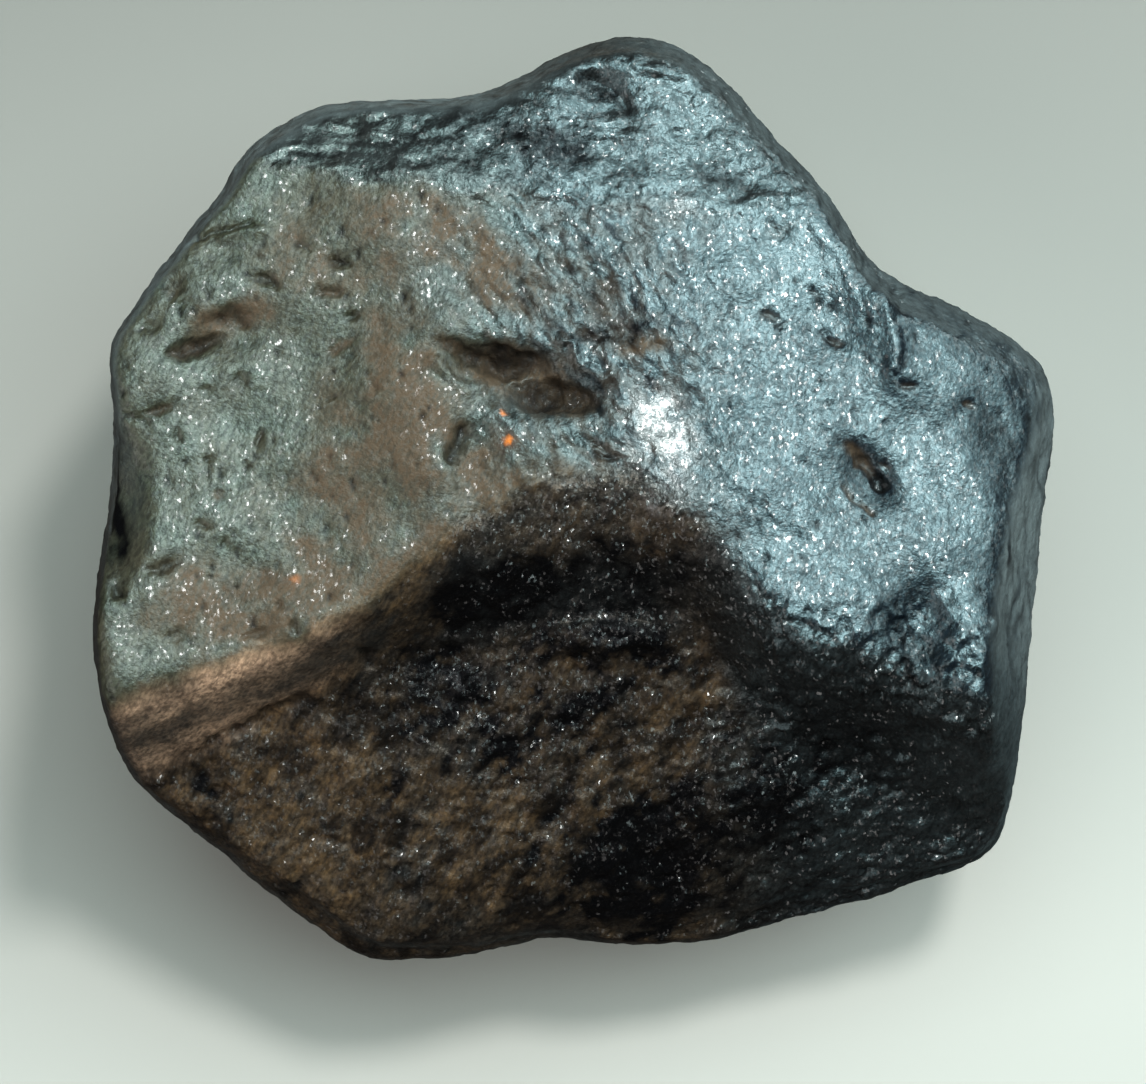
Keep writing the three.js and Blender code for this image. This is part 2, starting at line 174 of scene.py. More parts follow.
# Cracks, creases and ridges as [height, half width, brown, points from end to end].
CREASES = [
    (
        -0.22,
        0.16,
        0.6,
        [(-11.5, -7.6), (-10.7, -7.2), (-9.7, -6.7), (-9.0, -6.3), (-8.1, -5.9), (-7.4, -5.7)],
    ),
    (-0.12, 0.08, 0.1, [(-13.2, 2.6), (-12.7, 2.3), (-12.2, 2.25)]),
    (-0.14, 0.10, 0.1, [(-11.5, 7.35), (-10.7, 7.6), (-10.2, 7.75), (-9.6, 7.95), (-9.2, 8.1)]),
    (0.10, 0.16, 0.0, [(-10.5, 7.4), (-9.8, 7.65), (-9.2, 7.75), (-8.7, 7.9)]),
    (-0.08, 0.08, 0.1, [(-11.6, 5.5), (-11.0, 5.75)]),
    (-0.10, 0.22, 0.5, [(-0.3, 4.85), (0.6, 4.75), (1.5, 4.85), (2.4, 4.55), (3.0, 4.6)]),
    (0.14, 0.18, 0.0, [(-4.2, 4.3), (-3.9, 3.7), (-3.4, 3.3), (-2.8, 3.2), (-2.4, 3.2)]),
    (0.10, 0.14, 0.0, [(-1.9, 2.9), (-1.3, 3.15), (-0.8, 3.3), (0.0, 3.25)]),
    (0.14, 0.15, 0.0, [(-0.6, 4.75), (-0.1, 4.45), (0.3, 3.8), (0.8, 3.4), (1.4, 3.85)]),
    (-0.22, 0.22, 0.5, [(-3.3, 2.3), (-3.4, 1.6), (-3.6, 0.9)]),
    (0.10, 0.16, 0.0, [(-1.4, -4.5), (-1.0, -4.0), (-0.2, -3.7), (0.7, -3.6), (1.7, -3.75), (2.5, -4.3)]),
    (0.08, 0.14, 0.0, [(-3.5, -4.4), (-2.9, -4.5), (-2.2, -4.55), (-1.6, -4.4)]),
    (0.07, 0.10, 0.0, [(-6.9, -8.5), (-6.5, -8.0), (-6.1, -8.0), (-5.8, -8.4)]),
    (0.14, 0.20, 0.0, [(7.5, 7.6), (8.2, 6.9), (8.7, 6.2), (9.1, 5.2), (9.25, 4.3), (9.0, 3.1)]),
    (-0.16, 0.12, 0.1, [(8.7, 7.0), (9.3, 6.2), (9.7, 5.3)]),
]

# Patches of colour as [x, y, half length, half width, turn in degrees, strength].
BROWN_PATCHES = [
    (-10.2, -3.0, 1.8, 1.0, 10, 0.85),
    (-3.4, 7.4, 2.4, 0.9, -38, 0.9),
    (-6.4, 7.4, 2.2, 1.6, 0, 0.45),
    (-4.7, 2.4, 1.3, 2.6, 10, 1.0),
    (-6.6, 0.6, 1.6, 3.6, -20, 0.55),
    (-8.3, -2.9, 2.4, 1.0, 25, 0.85),
    (-9.8, 5.4, 1.2, 0.5, 20, 0.7),
    (-1.4, 3.5, 1.7, 0.7, -20, 0.8),
    (0.3, 6.0, 1.2, 0.5, -35, 0.4),
    (2.0, 4.6, 0.9, 0.3, 0, 0.6),
    (-2.9, 0.6, 1.0, 0.8, 30, 0.6),
    (-4.6, -1.6, 2.4, 0.8, 36, 1.0),
    (-5.8, -3.6, 2.2, 1.0, 32, 0.8),
    (-1.2, 0.3, 2.0, 0.7, 12, 0.8),
    (1.5, -0.8, 2.4, 0.9, -8, 0.5),
    (-0.5, -1.2, 2.6, 0.8, 0, 0.45),
    (-10.2, -5.9, 3.6, 1.1, 22, 1.0),
    (-8.0, -9.0, 3.6, 2.4, -20, 0.9),
    (-2.5, -10.0, 3.6, 2.2, 0, 0.55),
    (3.4, -5.5, 0.7, 3.0, 0, 0.5),
]
# Dark patches, as above: mostly painted shade under the front ledge, in the left hollow, beyond the far
# ledge and on the steep front at the lower right, and partly the stone's own dark streaks.
SHADE_AND_BLACK_PATCHES = [
    (-1.9, -2.8, 2.4, 1.0, 10, 0.75),
    (2.2, -2.2, 2.0, 1.4, 0, 0.5),
    (-3.9, -5.3, 1.7, 1.4, 0, 0.65),
    (-1.5, -7.2, 2.2, 0.7, 12, 0.35),
    (-5.6, -8.3, 1.2, 0.5, 40, 0.35),
    (-10.9, -8.2, 0.9, 0.3, -38, 0.6),
    (1.0, -5.6, 2.0, 0.9, 10, 0.5),
    (2.0, -10.6, 2.4, 1.9, 10, 1.0),
    (8.3, -7.2, 2.2, 1.5, 20, 0.45),
    (9.6, -4.6, 0.6, 1.2, 20, 0.5),
    (-2.0, 10.3, 6.0, 0.5, 0, 0.3),
    (0.75, 11.9, 0.7, 0.4, -40, 0.6),
    (-2.8, 11.0, 2.0, 0.6, -8, 0.4),
    (-0.9, 10.4, 1.8, 0.7, -5, 0.65),
    (1.2, 4.85, 1.5, 0.22, -3, 0.6),
    (-1.1, 6.2, 0.7, 0.25, -40, 0.4),
    (0.9, 7.1, 0.9, 0.25, -38, 0.35),
    (0.6, 5.5, 0.7, 0.25, -25, 0.45),
    (-2.2, 9.6, 1.8, 0.35, -4, 0.35),
    (4.6, 9.4, 1.4, 0.4, -20, 0.3),
    (12.1, 1.8, 0.35, 1.0, 8, 0.4),
    (-13.35, 0.0, 0.45, 2.0, 4, 1.0),
    (0.7, -4.0, 2.2, 0.7, 4, 0.6),
    (-7.8, 10.0, 1.6, 0.30, 12, 0.3),
    (5.3, -8.8, 1.6, 1.6, 0, 0.7),
    (6.8, -6.1, 1.8, 0.7, -25, 0.4),
]
# Painted orange glints, light from inside the stone, as [x, y, radius].
ORANGE_GLINTS = [(-1.92, 1.70, 0.10), (-2.06, 2.50, 0.05), (-8.10, -2.34, 0.05)]
# Smoother skin, which takes a bright highlight, as the patches above.
POLISHED_PATCHES = [
    (2.25, 2.55, 0.75, 0.60, 0, 1.0),
    (2.85, 1.70, 0.65, 0.75, 20, 0.95),
    (1.95, 1.60, 0.45, 0.60, 0, 0.75),
    (2.80, 0.50, 0.50, 0.90, 0, 0.6),
    (2.30, -0.15, 0.30, 0.25, 0, 0.8),
    (3.20, 8.60, 0.30, 0.35, 0, 0.5),
]
# Places that shine more than the rest of their zone, as the patches above.
BRIGHT_PATCHES = [
    (10.0, -9.2, 2.6, 3.0, 0, 1.40),
    (6.2, 7.2, 1.5, 1.9, -30, 0.80),
    (2.2, 12.3, 1.7, 0.9, -15, 0.65),
    (-6.5, 10.9, 3.0, 0.7, 0, 0.65),
    (10.6, 3.2, 1.6, 1.6, 0, 0.20),
    (11.2, -4.2, 0.9, 1.6, 20, 0.80),
    (8.7, -4.1, 1.2, 0.8, -30, 0.40),
    (-10.5, 1.0, 1.6, 2.6, 0, 0.15),
]
SHADE_PER_DEPTH = 3.5  # painted shade inside a pit or crack, for each millimetre of its depth
# Most painted shade in a pit and in a crack.
DARKEST_PIT_SHADE = 0.90
DARKEST_CRACK_SHADE = 0.80

# Noise that makes the edges of marks and patches ragged, in waves of [reach, size, seed].
MARK_WAVES = [(0.14, 0.7, 50), (0.09, 0.28, 52)]
BROWN_WAVES = [(0.5, 1.5, 94), (0.2, 0.5, 96)]
SHADE_AND_BLACK_WAVES = [(0.6, 1.3, 104), (0.3, 0.5, 106)]
POLISHED_WAVES = [(0.20, 0.5, 140)]

# ---- Fine relief: height in each zone, in millimetres ----

BROAD_SWELL = 0.030  # all over
SWELLS = dict(left=0.016, right=0.016, centre=0.050, terrace=0.085, wall=0.060, beyond=0.055, outside=0.075)
GRAINS = dict(left=0.006, right=0.007, centre=0.014, terrace=0.030, wall=0.030, beyond=0.026, outside=0.010)
LUMPS = dict(terrace=0.10, wall=0.05, beyond=0.06, outside=0.05)
DIMPLES = dict(right=0.020, centre=0.010)
CHIPS = dict(left=0.006, right=0.010, centre=0.016, terrace=0.066, wall=0.050, beyond=0.042, outside=0.070)
CRUMBS = dict(left=0.005, right=0.005, centre=0.008, terrace=0.040, wall=0.036, beyond=0.024)
STEPS = dict(beyond=0.11)
STEP_WIDTH = 0.75
LONG_FLAKES = dict(centre=0.050)
SHORT_FLAKES = dict(centre=0.020, right=0.004)
RIM_STRIPES = dict(rim=0.025)
WORN_SIDES = dict(steep=0.035)
LARGE_BLOCKS = 0.19  # where the right end of the front wall is crumpled
SMALL_BLOCKS = 0.08
COARSE_RUBBLE = 0.070  # on the floor of a deep mark
FINE_RUBBLE = 0.030
RUBBLE_PER_DEPTH = 4.0
# Strength of the small pits and the pinholes, as a factor on scattered_pits.
SMALL_PITS = dict(left=0.30, right=0.25, terrace=0.35, wall=0.25, beyond=0.25, outside=0.3)
PINHOLES = dict(left=0.35, right=0.35, centre=0.15)
# Painted shade in the pinholes, for each zone, the deeper the darker, and the most of it.
PINHOLE_SHADE = dict(left=1.0, right=1.0)
DARKEST_PINHOLE_SHADE = 0.8
# Scratches, as [zone, height, length, spacing, turn in degrees from +Y, seed].
SCRATCHES = [
    ("centre", 0.020, 0.9, 0.25, -32, 75),
    ("right", 0.020, 0.9, 0.28, -32, 80),
    ("left", 0.010, 0.9, 0.22, 12, 85),
    ("terrace", 0.030, 1.3, 0.35, 40, 88),
]

# ---- Colour and shine of each zone ----

# Brown skin besides its patches; the second row of it fades out towards the right.
BROWN_SKIN = dict(left=0.24, centre=0.04, beyond=0.03)
BROWN_SKIN_LEFT = dict(terrace=0.5, outside=0.2)
BROWN_FLAMES = dict(centre=0.3)
# Strength of the black blotches on the terrace and of the painted shade on the front wall.
BLOTCHES_AND_WALL_SHADE = 0.75
# Shine lost in dull blotches, between the flames of the centre, and on the body's black and its painted
# shade.
BLOTCHES_LOSE = dict(beyond=0.5, terrace=0.6, right=0.3)
FLAMES_LOSE = 0.85
BLACK_AND_SHADE_LOSE = 0.92
# Strength of the shine, and steepness of the glittering grains, where 1 is the right flat's.
GLOSS = dict(left=0.9, right=1.0, centre=1.0, terrace=0.8, wall=0.9, beyond=1.45, outside=0.5)
RIM_GLOSS = 0.9
MOST_GLOSS = 1.4
GRIT = dict(left=0.85, right=1.0, centre=1.3, terrace=3.4, wall=4.2, beyond=1.8, outside=2.4)
POLISH_LOSES_GRIT = 0.85
# Share of the grains that glitters even where the stone is dull.
SPARKS = dict(upper=0.2, terrace=0.85, wall=0.8, beyond=0.2, rim=0.5, outside=0.5)

# ---- Masks and noise ----

SEED = 11
TABLE_SIZE = 4096
NOISE_GAIN = 1.6  # brings the noise to about -1 to 1
RANDOM = np.random.default_rng(SEED)
ORDER = RANDOM.permutation(TABLE_SIZE)
VALUES = RANDOM.uniform(-1.0, 1.0, (TABLE_SIZE, 7))
CORNERS = [(i, j, k) for i in (0, 1) for j in (0, 1) for k in (0, 1)]
NEIGHBOURS = [(i, j, k) for i in (-1, 0, 1) for j in (-1, 0, 1) for k in (-1, 0, 1)]


def ramp(value, low, high):
    """0 below low, 1 above high, and a smooth rise between."""
    t = np.clip((value - low) / (high - low), 0.0, 1.0)
    return t * t * (3.0 - 2.0 * t)


def column_of(cell, seed):
    """A row of VALUES for each cell of a grid; each seed gives other rows."""
    row = ORDER[(cell[:, 0] + 37 * seed) % TABLE_SIZE]
    row = ORDER[(row + cell[:, 1]) % TABLE_SIZE]
    return VALUES[ORDER[(row + cell[:, 2]) % TABLE_SIZE]]


def noise(points, size, seed=0):
    """Gradient noise, about -1 to 1, with features about `size` wide."""
    p = points / size
    cell = np.floor(p).astype(np.int64)
    f = p - cell
    blend = f * f * f * (f * (f * 6.0 - 15.0) + 10.0)
    total = np.zeros(len(p))
    for corner in CORNERS:
        slope = column_of(cell + corner, seed)
        rise = sum(slope[:, axis] * (f[:, axis] - corner[axis]) for axis in range(3))
        weight = 1.0
        for axis in range(3):
            weight = weight * (blend[:, axis] if corner[axis] else 1.0 - blend[:, axis])
        total += weight * rise
    return total * NOISE_GAIN


def layers(points, size, count, seed=0, fall=0.5):
    """Several sizes of noise in one, each half the size of the one before."""
    total = np.zeros(len(points))
    strength = 1.0
    for i in range(count):
        total += strength * noise(points, size / 2**i, seed + i)
        strength *= fall
    return total


def cells(points, size, seed=0):
    """Distances to the nearest and second-nearest of a scatter of points about `size` apart, in sizes."""
    p = points / size
    cell = np.floor(p).astype(np.int64)
    nearest = np.full(len(p), 9.0)
    second = np.full(len(p), 9.0)
    for neighbour in NEIGHBOURS:
        c = cell + np.array(neighbour)
        distance = np.linalg.norm(p - c - 0.5 - 0.5 * column_of(c, seed)[:, :3], axis=1)
        second = np.minimum(second, np.maximum(nearest, distance))
        nearest = np.minimum(nearest, distance)
    return nearest, second


def facets(points, size, seed, softness=0.12):
    """Broken-looking relief, about -1 to 1: cells about `size` across that tilt their own way."""
    p = points / size
    cell = np.floor(p).astype(np.int64)
    best = [np.full(len(p), 9.0), np.full(len(p), 9.0)]
    rise = [np.zeros(len(p)), np.zeros(len(p))]
    for neighbour in NEIGHBOURS:
        c = cell + np.array(neighbour)
        values = column_of(c, seed)
        away = p - c - 0.5 - 0.5 * values[:, :3]
        distance = np.linalg.norm(away, axis=1)
        here = (away * values[:, 3:6]).sum(axis=1) + 0.4 * values[:, 6]
        first = distance < best[0]
        other = ~first & (distance < best[1])
        best[1] = np.where(first, best[0], np.where(other, distance, best[1]))
        rise[1] = np.where(first, rise[0], np.where(other, here, rise[1]))
        best[0] = np.where(first, distance, best[0])
        rise[0] = np.where(first, here, rise[0])
    share = 0.5 + 0.5 * np.clip((best[1] - best[0]) / softness, 0.0, 1.0)
    return rise[0] * share + rise[1] * (1.0 - share)


def turned(points, along, across, turn, seed):
    """Points scaled so that noise over them is drawn out along a direction, `turn` degrees from +Y."""
    angle = math.radians(turn)
    x, y = points[:, 0], points[:, 1]
    u = x * math.cos(angle) - y * math.sin(angle)
    v = x * math.sin(angle) + y * math.cos(angle)
    bend = 0.25 * noise(points, 1.1, seed)
    return np.stack([(u + bend) / across, v / along, points[:, 2] / along], axis=1)


def streaks(points, along, across, turn, seed):
    """Ridged noise drawn out along a direction, `turn` degrees from +Y."""
    return 1.0 - 2.0 * np.abs(noise(turned(points, along, across, turn, seed + 3), 1.0, seed))


def shaken(points, waves):
    """Points moved about in X and Y by noise, so that what is drawn over them gets a ragged edge."""
    moved = points.copy()
    for axis in (0, 1):
        moved[:, axis] += sum(reach * noise(points, size, seed + axis) for reach, size, seed in waves)
    return moved


def spread(points, x, y, half_long, half_wide, turn):
    """Square of the distance from an ellipse's middle, 1 on its edge and at most 30."""
    angle = math.radians(turn)
    dx, dy = points[:, 0] - x, points[:, 1] - y
    u = (dx * math.cos(angle) + dy * math.sin(angle)) / half_long
    v = (dy * math.cos(angle) - dx * math.sin(angle)) / half_wide
    return np.minimum(u * u + v * v, 30.0)


def patch_share(points, patches):
    """The strongest of some soft patches at each point."""
    share = np.zeros(len(points))
    for *ellipse, strength in patches:
        share = np.maximum(share, strength * np.exp(-spread(points, *ellipse) ** 1.3))
    return share


def polish_share(points):
    """Share of the smoother skin, broken up by fine cracks."""
    nearest, second = cells(points, size=0.30, seed=142)
    patches = patch_share(shaken(points, POLISHED_WAVES), POLISHED_PATCHES)
    return patches * (0.5 + 0.5 * ramp(second - nearest, 0.02, 0.16))


# ---- Mesh work on arrays of points and triangles ----


def welded(mesh):
    """Points in millimetres and triangles of a mesh, with points at one place joined."""
    mesh.calc_loop_triangles()
    points = np.zeros(len(mesh.vertices) * 3)
    mesh.vertices.foreach_get("co", points)
    triangles = np.zeros(len(mesh.loop_triangles) * 3, np.int64)
    mesh.loop_triangles.foreach_get("vertices", triangles)
    keys = np.round(points.reshape(-1, 3) / MM, 4)  # one place is within 0.1 micrometres
    unique, place = np.unique(keys, axis=0, return_inverse=True)
    return unique, place.reshape(-1)[triangles].reshape(-1, 3)


def edges_of(triangles):
    """Each edge once, and for each triangle the numbers of its three edges."""
    sides = [triangles[:, [0, 1]], triangles[:, [1, 2]], triangles[:, [2, 0]]]
    pairs = np.sort(np.concatenate(sides), axis=1)
    count = triangles.max() + 1
    keys, place = np.unique(pairs[:, 0] * count + pairs[:, 1], return_inverse=True)
    return np.stack([keys // count, keys % count], axis=1), place.reshape(3, -1).T


def subdivided(points, triangles):
    """Each triangle cut into four at the middles of its edges."""
    edges, sides = edges_of(triangles)
    middles = sides + len(points)
    points = np.concatenate([points, points[edges].mean(axis=1)])
    a, b, c = triangles.T
    ab, bc, ca = middles.T
    quarters = ((a, ab, ca), (ab, b, bc), (ca, bc, c), (ab, bc, ca))
    return points, np.concatenate([np.stack(quarter, axis=1) for quarter in quarters])


def smoothed(points, triangles, rounds):
    """Each point moved halfway to the mean of its neighbours, several times over."""
    edges = edges_of(triangles)[0]
    ends = np.concatenate([edges[:, 0], edges[:, 1]])
    others = np.concatenate([edges[:, 1], edges[:, 0]])
    count = np.bincount(ends, minlength=len(points))
    for _ in range(rounds):
        means = [np.bincount(ends, points[others, axis], len(points)) / count for axis in range(3)]
        points = 0.5 * points + 0.5 * np.stack(means, axis=1)
    return points


def normals_of(points, triangles):
    """Direction straight out of the surface at each point."""
    a, b, c = (points[triangles[:, i]] for i in range(3))
    faces = np.cross(b - a, c - a)
    total = np.zeros_like(points)
    for i in range(3):
        for axis in range(3):
            total[:, axis] += np.bincount(triangles[:, i], faces[:, axis], len(points))
    return total / np.maximum(np.linalg.norm(total, axis=1, keepdims=True), 1e-12)


# ---- The stone's zones ----


def zones_of(points, normals):
    """Soft masks, from 0 to 1, for the parts of the stone that wear differently."""
    x, y, up = points[:, 0], points[:, 1], normals[:, 2]
    wobble = 0.35 * noise(points, 1.6, 40)
    ledge = np.array(FRONT_LEDGE)
    far = np.array(FAR_LEDGE)
    top = np.interp(x, ledge[:, 0], ledge[:, 1])
    foot = np.interp(x, ledge[:, 0], ledge[:, 2])
    upper = ramp(up, 0.15, 0.55)
    beyond = ramp(y + wobble - np.interp(x, far[:, 0], far[:, 1]), -0.35, 0.25) * upper
    plateau = ramp(y + wobble - top, -0.5, 0.35) * upper * (1.0 - beyond)
    terrace = ramp(foot - y - wobble, -0.6, 0.4) * upper
    left = plateau * (1.0 - ramp(x + wobble, -4.6, -2.0))
    right = plateau * ramp(x + 2.0 * wobble, 1.8, 5.6)
    return {
        "upper": upper,  # all that faces up
        "beyond": beyond,  # the slope beyond the far ledge
        "left": left,  # the left flat
        "right": right,  # the right flat
        "centre": np.clip(plateau - left - right, 0.0, 1.0),  # what lies between the flats
        "terrace": terrace,  # in front of the front ledge's foot
        "wall": np.clip(upper - plateau - beyond - terrace, 0.0, 1.0),  # from the front ledge to its foot
        "outside": 1.0 - upper,  # the sides and the underside
        "steep": 1.0 - ramp(up, 0.3, 0.8),  # all that is far from level
        # The lowered edge at the right.
        "rim": ramp(x + 0.6 * y, 8.5, 11.5) * ramp(y, -9.0, -5.0) * (1.0 - ramp(up, 0.55, 0.95)),
        "polish": polish_share(points) * upper,  # the smoother skin
    }


def zoned(zones, strengths):
    """At each point, the strength of the zones that it lies in."""
    return sum(strength * zones[name] for name, strength in strengths.items())


# ---- Relief ----


def crease_share(points, half_width, path):
    """How near each point is to a line through the path's points, from 0 to 1 on it, fading at its ends."""
    path = np.array(path)
    best = np.full(len(points), 1e9)
    place = np.zeros(len(points))
    count = len(path) - 1
    for i, (a, b) in enumerate(zip(path[:-1], path[1:])):
        d = b - a
        t = np.clip(((points[:, :2] - a) @ d) / (d @ d), 0.0, 1.0)
        away = np.linalg.norm(points[:, :2] - a - t[:, None] * d, axis=1)
        nearer = away < best
        best = np.where(nearer, away, best)
        place = np.where(nearer, (i + t) / count, place)
    ends = ramp(place, 0.0, 0.15) * (1.0 - ramp(place, 0.85, 1.0))
    return np.exp(-((best / half_width) ** 2)) * ends


def pit_shade(height, darkest):
    """Painted shade in a mark: the deeper, the darker, and a ridge gets none."""
    return min(max(-height * SHADE_PER_DEPTH, 0.0), darkest)


def marks(points, zones):
    """Height, brown tint and painted shade of the listed pits and creases."""
    height = np.zeros(len(points))
    brown = np.zeros(len(points))
    painted_shade = np.zeros(len(points))
    ragged = shaken(points, MARK_WAVES)
    for *ellipse, rise, edge, tint in PITS:
        share = np.exp(-1.2 * spread(ragged, *ellipse) ** edge)
        height += rise * share
        brown = np.maximum(brown, tint * share)
        painted_shade = np.maximum(painted_shade, pit_shade(rise, DARKEST_PIT_SHADE) * share)
    for rise, half_width, tint, path in CREASES:
        share = crease_share(ragged, half_width, path)
        height += rise * share
        brown = np.maximum(brown, tint * share)
        painted_shade = np.maximum(painted_shade, pit_shade(rise, DARKEST_CRACK_SHADE) * share**2)
    return height * zones["upper"], brown * zones["upper"], painted_shade * zones["upper"]


def scattered_pits(points, size, share, depth, seed):
    """Small pits at a share of a scatter of places about `size` apart."""
    p = points / size
    cell = np.floor(p).astype(np.int64)
    height = np.zeros(len(p))
    for neighbour in NEIGHBOURS:
        c = cell + np.array(neighbour)
        values = column_of(c, seed)
        there = values[:, 3] < 2.0 * share - 1.0
        radius = 0.26 + 0.14 * values[:, 4]
        away = (p - c - 0.5 - 0.5 * values[:, :3]) * (1.0 + 0.5 * values[:, 4:])
        inside = np.linalg.norm(away, axis=1) / radius
        pit = -depth * radius * np.exp(-np.minimum(inside, 3.0) ** 2.6)
        height = np.minimum(height, np.where(there, pit, 0.0))
    return height


def terracettes(points):
    """Low, broken steps across the slope beyond the far ledge."""
    drawn = points * [0.45, 1.0, 1.0]  # the noise is drawn out sideways
    warp = 0.9 * noise(drawn, 1.6, 60) + 0.30 * noise(drawn, 0.7, 61) + 0.10 * noise(drawn, 0.3, 62)
    t = (points[:, 1] + warp) / STEP_WIDTH
    part = t - np.floor(t)
    return (ramp(part, 0.15, 0.6) - part) * ramp(noise(points, 1.8, 65), -0.5, 0.2)


def crumple(points, zones):
    """Broken blocks where the right end of the front wall falls to the terrace."""
    front = ramp(-points[:, 1], 2.2, 4.2)
    share = ramp(points[:, 0], 4.0, 6.0) * zoned(zones, dict(wall=1.0, terrace=0.5, right=front))
    uneven = 0.7 + 0.5 * noise(points, 0.9, 45)
    large = LARGE_BLOCKS * facets(points, size=0.55, seed=41)
    small = SMALL_BLOCKS * facets(points, size=0.24, seed=43)
    return share * uneven * (large + small)


def relief(points, zones):
    """Height of the fine relief over the smooth stone, how brown its marks make it, and the shade painted
    into its marks and pinholes.
    """
    nearest, second = cells(points, size=0.9, seed=5)
    long_flakes = turned(points, along=0.95, across=0.34, turn=-35, seed=70)
    short_flakes = turned(points, along=0.45, across=0.18, turn=-10, seed=72)
    pinholes = scattered_pits(points, size=0.42, share=0.35, depth=0.45, seed=19)
    height = BROAD_SWELL * layers(points, size=3.0, count=2, seed=1)
    height += zoned(zones, SWELLS) * layers(points, size=1.3, count=5, seed=3, fall=0.58)
    height += zoned(zones, GRAINS) * layers(points, size=0.42, count=2, seed=15, fall=0.7)
    height += zoned(zones, LUMPS) * (0.45 - nearest)
    height += zoned(zones, DIMPLES) * np.minimum(second - nearest, 0.3)
    height += zoned(zones, CHIPS) * facets(points, size=0.55, seed=21)
    height += zoned(zones, CRUMBS) * facets(points, size=0.25, seed=31)
    height += zoned(zones, STEPS) * terracettes(points)
    height += zoned(zones, LONG_FLAKES) * facets(long_flakes, size=1.0, seed=71)
    height += zoned(zones, SHORT_FLAKES) * facets(short_flakes, size=1.0, seed=73)
    for zone, rise, along, across, turn, seed in SCRATCHES:
        height += rise * zones[zone] * streaks(points, along, across, turn, seed)
    height += zoned(zones, SMALL_PITS) * scattered_pits(points, size=0.8, share=0.5, depth=0.45, seed=9)
    height += zoned(zones, PINHOLES) * pinholes
    height *= (1.0 - 0.6 * zones["polish"]) * (1.0 - 0.60 * zones["steep"])  # both are smoother
    height += crumple(points, zones)
    height += zoned(zones, RIM_STRIPES) * streaks(points, along=1.8, across=0.16, turn=3, seed=140)
    height += zoned(zones, WORN_SIDES) * layers(points, size=0.9, count=4, seed=142, fall=0.65)

    placed, brown, painted_shade = marks(points, zones)
    coarse = COARSE_RUBBLE * facets(points, size=0.34, seed=47)
    fine = FINE_RUBBLE * facets(points, size=0.18, seed=48)
    height += np.clip(-RUBBLE_PER_DEPTH * placed, 0.0, 1.0) * (coarse + fine)
    # Painted shade in the marks, made uneven, and in the pinholes, the deeper the darker.
    painted_shade = painted_shade * (0.85 + 0.35 * noise(points, size=0.30, seed=49))
    pinhole_shade = np.clip(-8.0 * pinholes - 0.3, 0.0, DARKEST_PINHOLE_SHADE)
    painted_shade = np.maximum(painted_shade, zoned(zones, PINHOLE_SHADE) * pinhole_shade)
    return height + placed, brown, painted_shade


# ---- Colour and shine at each point ----


def browns(points, zones, placed):
    """How much of the brown body colour shows, from 0 to 1."""
    patches = patch_share(shaken(points, BROWN_WAVES), BROWN_PATCHES)
    skin = zoned(zones, BROWN_SKIN)
    skin += zoned(zones, BROWN_SKIN_LEFT) * (1.0 - ramp(points[:, 0], 2.0, 7.0))
    brown = patches * zones["upper"] + skin
    mottle = layers(points, size=1.1, count=3, seed=90, fall=0.7)
    brown *= 1.0 + 0.7 * mottle + 0.5 * zones["terrace"] * noise(points, 2.6, 91)
    flames = ramp(streaks(points, 1.3, 0.45, -35, 120) + 0.5 * noise(points, 0.4, 121), 0.2, 0.9)
    brown += zoned(zones, BROWN_FLAMES) * flames
    return np.clip(np.maximum(brown, placed), 0.0, 1.0)


def blacks_and_shade(points, zones, painted_shade):
    """How much darker than its neighbourhood the body is, from 0 to 1: its own black patches and blotches,
    and painted shade in marks, under the front ledge and on faces turned from the lamps.
    """
    x = points[:, 0]
    patches = patch_share(shaken(points, SHADE_AND_BLACK_WAVES), SHADE_AND_BLACK_PATCHES)
    broken = 1.5 + 0.8 * layers(points, size=0.5, count=2, seed=108, fall=0.8)
    black_and_shade = np.clip(broken * patches, 0.0, 1.0) * zones["upper"]
    drawn = turned(points, along=1.5, across=0.75, turn=40, seed=101)
    blotches = layers(drawn, size=1.0, count=4, seed=100, fall=0.70) + 0.5 * noise(points, 2.4, 109)
    blotches = ramp(blotches, -0.2, 0.5)
    greyer = 1.0 - 0.6 * ramp(x, 6.0, 9.0)  # towards the right end of the terrace
    # Painted shade on the front wall beyond its left end, broken by the same blotches as the terrace.
    wall = 0.5 * zones["wall"] * ramp(x, -6.5, -3.5)  # its left end stays brown
    black_and_shade += BLOTCHES_AND_WALL_SHADE * greyer * blotches * (zones["terrace"] + wall)
    return np.clip(np.maximum(black_and_shade, painted_shade), 0.0, 1.0)


def gloss_of(points, zones, black_and_shade):
    """Strength of the shine, where 1 is the right flat's."""
    gloss = zoned(zones, GLOSS)
    flames = ramp(streaks(points, 1.0, 0.30, -35, 130) + 0.6 * noise(points, 0.5, 131), -0.4, 0.5)
    blotches = ramp(layers(points, size=1.0, count=3, seed=132, fall=0.7), -0.5, 0.5)
    gloss *= 1.0 - FLAMES_LOSE * zones["centre"] * (1.0 - flames)
    gloss *= 1.0 - zoned(zones, BLOTCHES_LOSE) * (1.0 - blotches)
    gloss *= 1.0 + patch_share(points, BRIGHT_PATCHES)
    gloss = np.maximum(gloss, RIM_GLOSS * zones["rim"])
    return np.clip(gloss * (1.0 - BLACK_AND_SHADE_LOSE * black_and_shade), 0.0, MOST_GLOSS)


def grit_of(zones):
    """Steepness of the glittering grains, as a share of their usual one."""
    return zoned(zones, GRIT) * (1.0 - POLISH_LOSES_GRIT * zones["polish"])


def sparks_of(zones):
    """Share of the glittering grains that shows even where the stone is dull."""
    return np.clip(zoned(zones, SPARKS), 0.0, 1.0)


